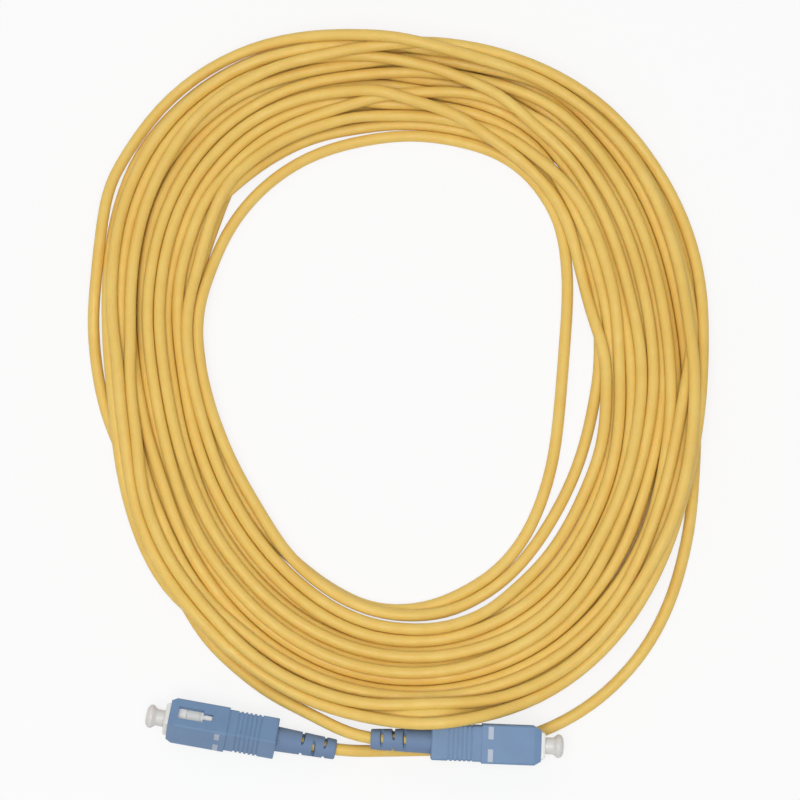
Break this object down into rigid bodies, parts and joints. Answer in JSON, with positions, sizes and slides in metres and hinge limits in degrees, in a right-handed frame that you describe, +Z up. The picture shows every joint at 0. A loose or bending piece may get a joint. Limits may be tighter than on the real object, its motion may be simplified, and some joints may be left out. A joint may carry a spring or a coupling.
{
  "type": "fiber optic patch cord",
  "caption": "Single-fibre patch cord: round cable wound in a loose oval coil, with a square push-pull plug, slotted bend-relief boot and dust cap on each end.",
  "frame": {"origin": "bottom centre of the box round the two plugs, on the table they lie on", "axes": "+Z up from the table, +X to the right along the plugs, +Y from the plugs towards the coil"},
  "size_m": [0.1486, 0.178, 0.0124],
  "materials": {
    "cable_jacket": "satin",
    "blue_plastic": "satin",
    "blue_rubber": "matte",
    "pale_mark": "matte",
    "white_plastic": "satin",
    "cap_plastic": "satin",
    "ceramic": "polished",
    "steel": "satin",
    "spring_steel": "bright",
    "brass": "satin",
    "yarn": "fibrous",
    "fibre_buffer": "satin"
  },
  "bodies": {
    "cord": {"cable_tail_a": "cable_jacket", "cable_coil": "cable_jacket", "cable_tail_b": "cable_jacket", "a_plug_frame": "white_plastic", "a_backbone": "brass", "a_crimp_sleeve": "brass", "a_strength_yarn": "yarn", "a_boot": "blue_rubber", "b_plug_frame": "white_plastic", "b_backbone": "brass", "b_crimp_sleeve": "brass", "b_strength_yarn": "yarn", "b_boot": "blue_rubber"},
    "sleeve_a": {"a_coupling_sleeve": "blue_plastic", "a_index_marks": "pale_mark"},
    "ferrule_a": {"a_ferrule": "ceramic", "a_ferrule_flange": "steel", "a_inner_tube": "white_plastic", "a_fibre": "fibre_buffer", "a_spring": "spring_steel"},
    "cap_a": {"a_dust_cap": "cap_plastic"},
    "sleeve_b": {"b_coupling_sleeve": "blue_plastic", "b_index_marks": "pale_mark"},
    "ferrule_b": {"b_ferrule": "ceramic", "b_ferrule_flange": "steel", "b_inner_tube": "white_plastic", "b_fibre": "fibre_buffer", "b_spring": "spring_steel"},
    "cap_b": {"b_dust_cap": "cap_plastic"}
  },
  "joints": [
    {"name": "sleeve_a_unlatch", "type": "slide", "parent": "cord", "child": "sleeve_a", "axis": [0.9824, -0.1732, -0.0698], "range_m": [0, 0.0018]},
    {"name": "ferrule_a_press", "type": "slide", "parent": "cord", "child": "ferrule_a", "axis": [0.9824, -0.1732, -0.0698], "range_m": [0, 0.001], "stiffness_N_per_m": 500, "deforming": ["a_spring"]},
    {"name": "cap_a_pull", "type": "slide", "parent": "ferrule_a", "child": "cap_a", "axis": [-0.9824, 0.1732, 0.0698], "range_m": [0, 0.012]},
    {"name": "sleeve_b_unlatch", "type": "slide", "parent": "cord", "child": "sleeve_b", "axis": [-0.9993, 0.0384, 0], "range_m": [0, 0.0018]},
    {"name": "ferrule_b_press", "type": "slide", "parent": "cord", "child": "ferrule_b", "axis": [-0.9993, 0.0384, 0], "range_m": [0, 0.001], "stiffness_N_per_m": 500, "deforming": ["b_spring"]},
    {"name": "cap_b_pull", "type": "slide", "parent": "ferrule_b", "child": "cap_b", "axis": [0.9993, -0.0384, 0], "range_m": [0, 0.012]}
  ]
}
